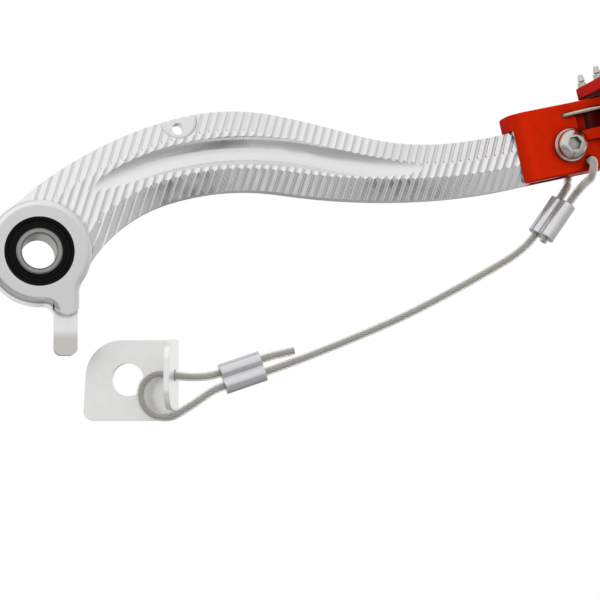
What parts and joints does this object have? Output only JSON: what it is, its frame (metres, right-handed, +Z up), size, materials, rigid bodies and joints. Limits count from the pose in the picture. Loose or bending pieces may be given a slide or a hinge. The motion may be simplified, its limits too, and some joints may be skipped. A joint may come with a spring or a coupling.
{
  "type": "rear brake pedal",
  "caption": "Rear brake pedal for a motorbike: curved ridged alloy arm on a needle-bearing pivot, sprung folding tip with grip studs, and a coated tether cable with an angle bracket.",
  "frame": {"origin": "middle of the pivot bore", "axes": "+X forwards along the arm to the tip, +Z up, +Y along the pivot towards the bike, so the outboard side faces -Y"},
  "size_m": [0.2454, 0.0583, 0.1336],
  "materials": {
    "arm_alloy": "ball-milled and bright polished",
    "red_anodise": "anodised red-orange",
    "steel": "turned stainless",
    "bearing_steel": "ground",
    "seal_rubber": "satin black",
    "spring_steel": "bright drawn wire",
    "cable_coat": "clear coat over wire rope",
    "ferrule_alloy": "pressed, matt",
    "bracket_steel": "tumbled, matt"
  },
  "bodies": {
    "arm": {"pedal_arm": "arm_alloy", "needle_cup": "bearing_steel", "outer_seal": "seal_rubber", "inner_seal": "seal_rubber", "tip_carrier": "red_anodise", "carrier_screw": "steel", "carrier_washer": "steel", "tip_pivot_bolt": "steel", "tip_locknut": "steel", "tip_thrust_washer": "steel", "tip_spring": "spring_steel", "tether_cable": "cable_coat", "tip_ferrule": "ferrule_alloy", "bracket_ferrule": "ferrule_alloy", "tether_bracket": "bracket_steel"},
    "sleeve": {"pivot_sleeve": "steel"},
    "needles": {"needle_cage": "bearing_steel", "needle_rollers": "bearing_steel"},
    "tip": {"tip_pad": "red_anodise", "grip_studs": "steel", "tip_stop_pin": "steel"}
  },
  "joints": [
    {"name": "sleeve_turn", "type": "hinge", "parent": "arm", "child": "sleeve", "pos_m": [0, 0, 0], "axis": [0, 1, 0], "continuous": true},
    {"name": "needle_turn", "type": "hinge", "parent": "arm", "child": "needles", "pos_m": [0, 0, 0], "axis": [0, 1, 0], "continuous": true},
    {"name": "tip_fold", "type": "hinge", "parent": "arm", "child": "tip", "pos_m": [0.21493, -0.0125, 0.0472], "axis": [0.2164, 0, -0.9763], "range_deg": [0, 90], "stiffness_Nm_per_rad": 0.3, "springref_deg": -45.84, "deforming": ["tip_spring"]}
  ],
  "couplings": [
    {"joint": "needle_turn", "follows": "sleeve_turn", "ratio": 0.44444}
  ]
}
